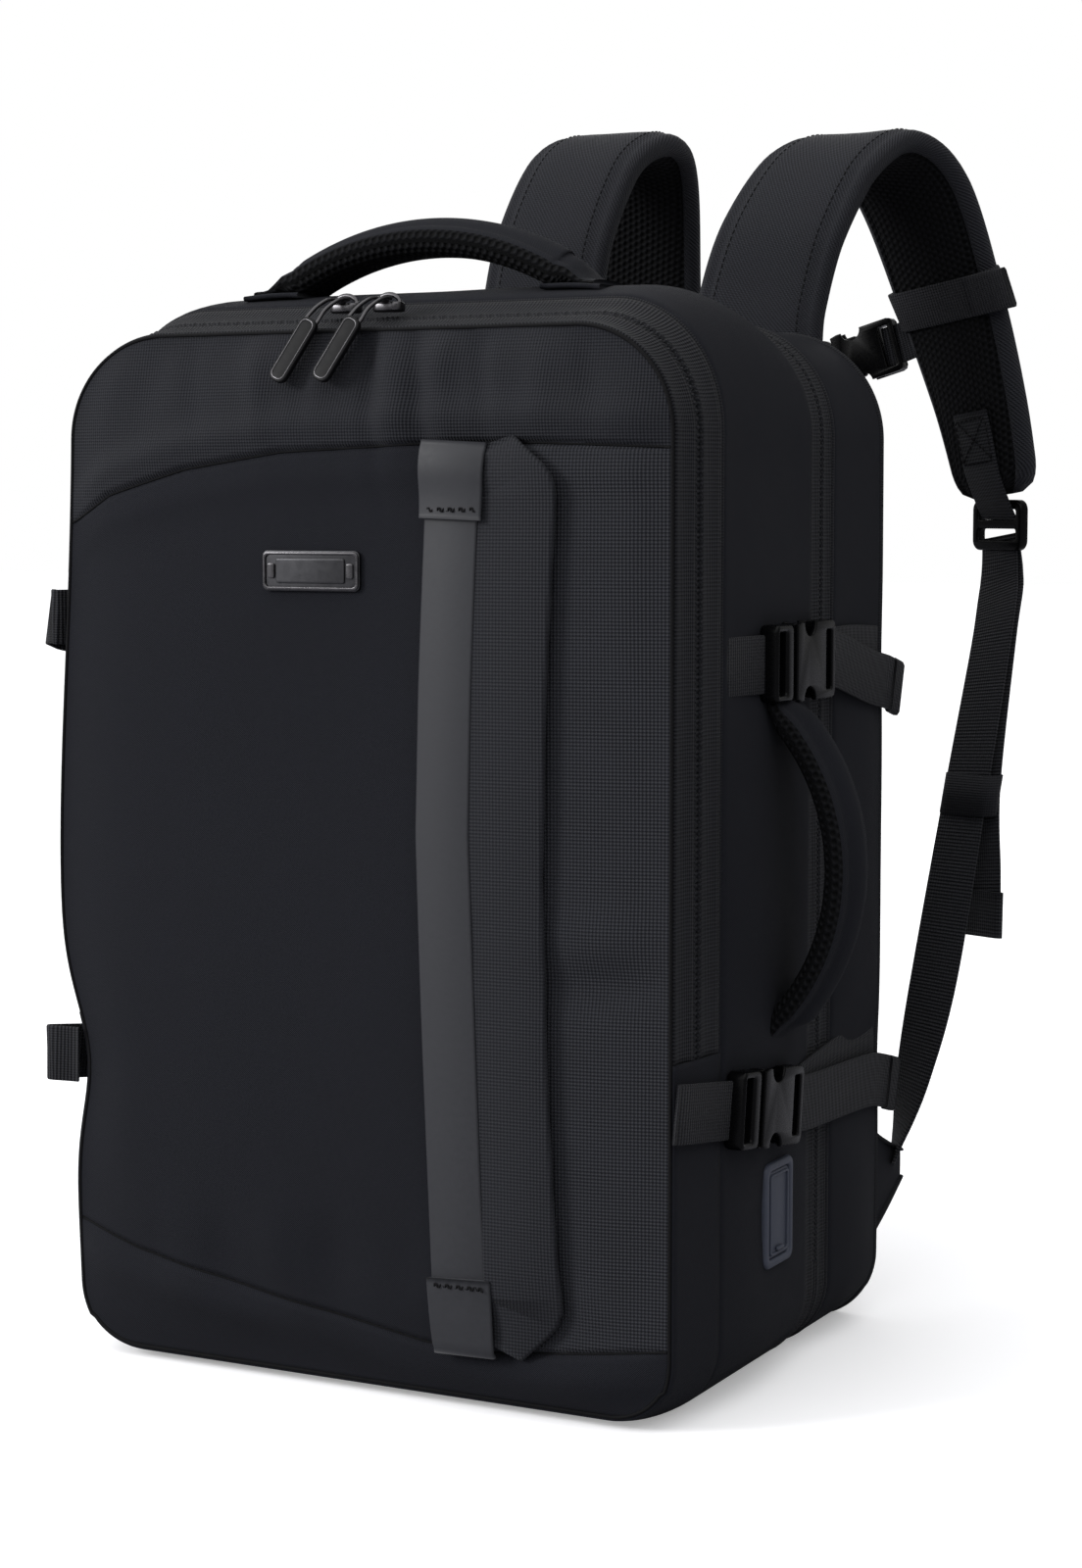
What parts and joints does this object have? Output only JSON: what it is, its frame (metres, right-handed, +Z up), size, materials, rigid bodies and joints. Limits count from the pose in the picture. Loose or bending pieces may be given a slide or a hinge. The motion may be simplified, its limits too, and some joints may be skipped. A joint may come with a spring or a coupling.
{
  "type": "travel backpack",
  "caption": "Boxy fabric backpack with a fold-down front, rear laptop section, buckled side straps, two carry handles, a charging port and padded shoulder straps.",
  "frame": {"origin": "middle of the bottom, on the surface that the bag stands on", "axes": "+Z up, -Y out of the front, +Y towards the shoulder straps, +X towards the side with the carry handle"},
  "size_m": [0.3572, 0.3658, 0.565],
  "materials": {
    "body_fabric": "woven polyester, matt",
    "front_fabric": "woven polyester, matt",
    "trim_leather": "smooth coated trim",
    "flap_fabric": "coarse dotted weave",
    "zip_tape": "ribbed zipper tape",
    "lining": "smooth lining",
    "plate_metal": "dark plated",
    "zip_metal": "dark plated",
    "pull_rubber": "matt rubber in a metal edge",
    "handle_fabric": "woven, padded",
    "port_rubber": "soft matt rubber",
    "buckle_plastic": "moulded, slightly glossy",
    "webbing": "ribbed webbing",
    "pad_fabric": "woven polyester, padded",
    "pad_mesh": "spacer mesh"
  },
  "bodies": {
    "bag": {"top_gusset": "body_fabric", "right_gusset": "body_fabric", "left_gusset": "body_fabric", "bottom_panel": "body_fabric", "rear_zip_tape": "zip_tape", "rear_gusset": "body_fabric", "back_panel": "body_fabric", "front_lower_panel": "body_fabric", "main_zip_tape_bag": "zip_tape", "base_board": "lining", "laptop_divider": "lining", "back_stiffener": "lining", "trim_strap_lower": "trim_leather", "pocket_flap_lower": "flap_fabric", "handle_feet": "handle_fabric", "port_housing": "port_rubber", "buckle_sockets": "buckle_plastic", "strap_anchors": "webbing", "compression_webbing": "webbing", "pad_roots": "pad_fabric", "adjuster_webbing_right": "webbing", "adjuster_webbing_left": "webbing", "anchor_tabs": "webbing", "back_pads": "pad_mesh", "luggage_band": "webbing"},
    "front_lid": {"front_panel": "front_fabric", "main_zip_tape_lid": "zip_tape", "trim_strap": "trim_leather", "pocket_flap": "flap_fabric", "name_plate": "plate_metal"},
    "slider_left": {"slider_left": "zip_metal"},
    "pull_left": {"pull_left": "pull_rubber"},
    "slider_right": {"slider_right": "zip_metal"},
    "pull_right": {"pull_right": "pull_rubber"},
    "rear_slider_left": {"rear_slider_left": "zip_metal"},
    "rear_pull_left": {"rear_pull_left": "pull_rubber"},
    "rear_slider_right": {"rear_slider_right": "zip_metal"},
    "rear_pull_right": {"rear_pull_right": "pull_rubber"},
    "top_handle": {"top_handle": "handle_fabric"},
    "side_handle": {"side_handle": "handle_fabric"},
    "port_cover": {"port_cover": "port_rubber"},
    "clip_upper_right": {"clip_upper_right": "buckle_plastic"},
    "clip_upper_left": {"clip_upper_left": "buckle_plastic"},
    "clip_lower_right": {"clip_lower_right": "buckle_plastic"},
    "clip_lower_left": {"clip_lower_left": "buckle_plastic"},
    "strap_right": {"shoulder_pad_right": "pad_fabric", "ladder_lock_right": "buckle_plastic", "sternum_socket": "buckle_plastic", "sternum_webbing_right": "webbing"},
    "strap_left": {"shoulder_pad_left": "pad_fabric", "ladder_lock_left": "buckle_plastic", "sternum_webbing_left": "webbing"},
    "sternum_clip": {"sternum_clip": "buckle_plastic"}
  },
  "joints": [
    {"name": "lid_open", "type": "hinge", "parent": "bag", "child": "front_lid", "pos_m": [0, -0.113, 0.155], "axis": [1, 0, 0], "range_deg": [0, 95]},
    {"name": "slider_left_slide", "type": "slide", "parent": "front_lid", "child": "slider_left", "axis": [-1, 0, 0], "range_m": [0, 0.075]},
    {"name": "slider_right_slide", "type": "slide", "parent": "front_lid", "child": "slider_right", "axis": [1, 0, 0], "range_m": [0, 0.09]},
    {"name": "pull_left_swing", "type": "hinge", "parent": "slider_left", "child": "pull_left", "pos_m": [-0.018, -0.098, 0.4687], "axis": [1, 0, 0], "range_deg": [-120, 0]},
    {"name": "pull_right_swing", "type": "hinge", "parent": "slider_right", "child": "pull_right", "pos_m": [0.003, -0.098, 0.4687], "axis": [1, 0, 0], "range_deg": [-120, 0]},
    {"name": "rear_slider_left_slide", "type": "slide", "parent": "bag", "child": "rear_slider_left", "axis": [-1, 0, 0], "range_m": [0, 0.075]},
    {"name": "rear_slider_right_slide", "type": "slide", "parent": "bag", "child": "rear_slider_right", "axis": [1, 0, 0], "range_m": [0, 0.075]},
    {"name": "rear_pull_left_swing", "type": "hinge", "parent": "rear_slider_left", "child": "rear_pull_left", "pos_m": [-0.012, 0.038, 0.4639], "axis": [1, 0, 0], "range_deg": [0, 100]},
    {"name": "rear_pull_right_swing", "type": "hinge", "parent": "rear_slider_right", "child": "rear_pull_right", "pos_m": [0.012, 0.038, 0.4639], "axis": [1, 0, 0], "range_deg": [0, 100]},
    {"name": "top_handle_swing", "type": "hinge", "parent": "bag", "child": "top_handle", "pos_m": [0, -0.05, 0.464], "axis": [1, 0, 0], "range_deg": [-20, 20]},
    {"name": "side_handle_swing", "type": "hinge", "parent": "bag", "child": "side_handle", "pos_m": [0.15, -0.022, 0.2275], "axis": [0, 0, 1], "range_deg": [-20, 20]},
    {"name": "port_cover_open", "type": "hinge", "parent": "bag", "child": "port_cover", "pos_m": [0.1541, -0.023, 0.0956], "axis": [0, -1, 0], "range_deg": [0, 110]},
    {"name": "clip_upper_right_release", "type": "slide", "parent": "bag", "child": "clip_upper_right", "axis": [0, -1, 0], "range_m": [0, 0.02]},
    {"name": "clip_upper_left_release", "type": "slide", "parent": "bag", "child": "clip_upper_left", "axis": [0, -1, 0], "range_m": [0, 0.02]},
    {"name": "clip_lower_right_release", "type": "slide", "parent": "bag", "child": "clip_lower_right", "axis": [0, -0.9925, 0.1219], "range_m": [0, 0.02]},
    {"name": "clip_lower_left_release", "type": "slide", "parent": "bag", "child": "clip_lower_left", "axis": [0, -0.9925, 0.1219], "range_m": [0, 0.02]},
    {"name": "shoulder_right_swing", "type": "hinge", "parent": "bag", "child": "strap_right", "pos_m": [0.083, 0.113, 0.466], "axis": [1, 0, 0], "range_deg": [-25, 35], "deforming": ["adjuster_webbing_right"]},
    {"name": "shoulder_left_swing", "type": "hinge", "parent": "bag", "child": "strap_left", "pos_m": [-0.032, 0.113, 0.466], "axis": [1, 0, 0], "range_deg": [-25, 35], "deforming": ["adjuster_webbing_left"]},
    {"name": "sternum_clip_release", "type": "slide", "parent": "strap_left", "child": "sternum_clip", "axis": [-0.9578, 0, -0.2873], "range_m": [0, 0.016]}
  ],
  "couplings": [
    {"joint": "shoulder_left_swing", "follows": "shoulder_right_swing", "ratio": 1}
  ]
}
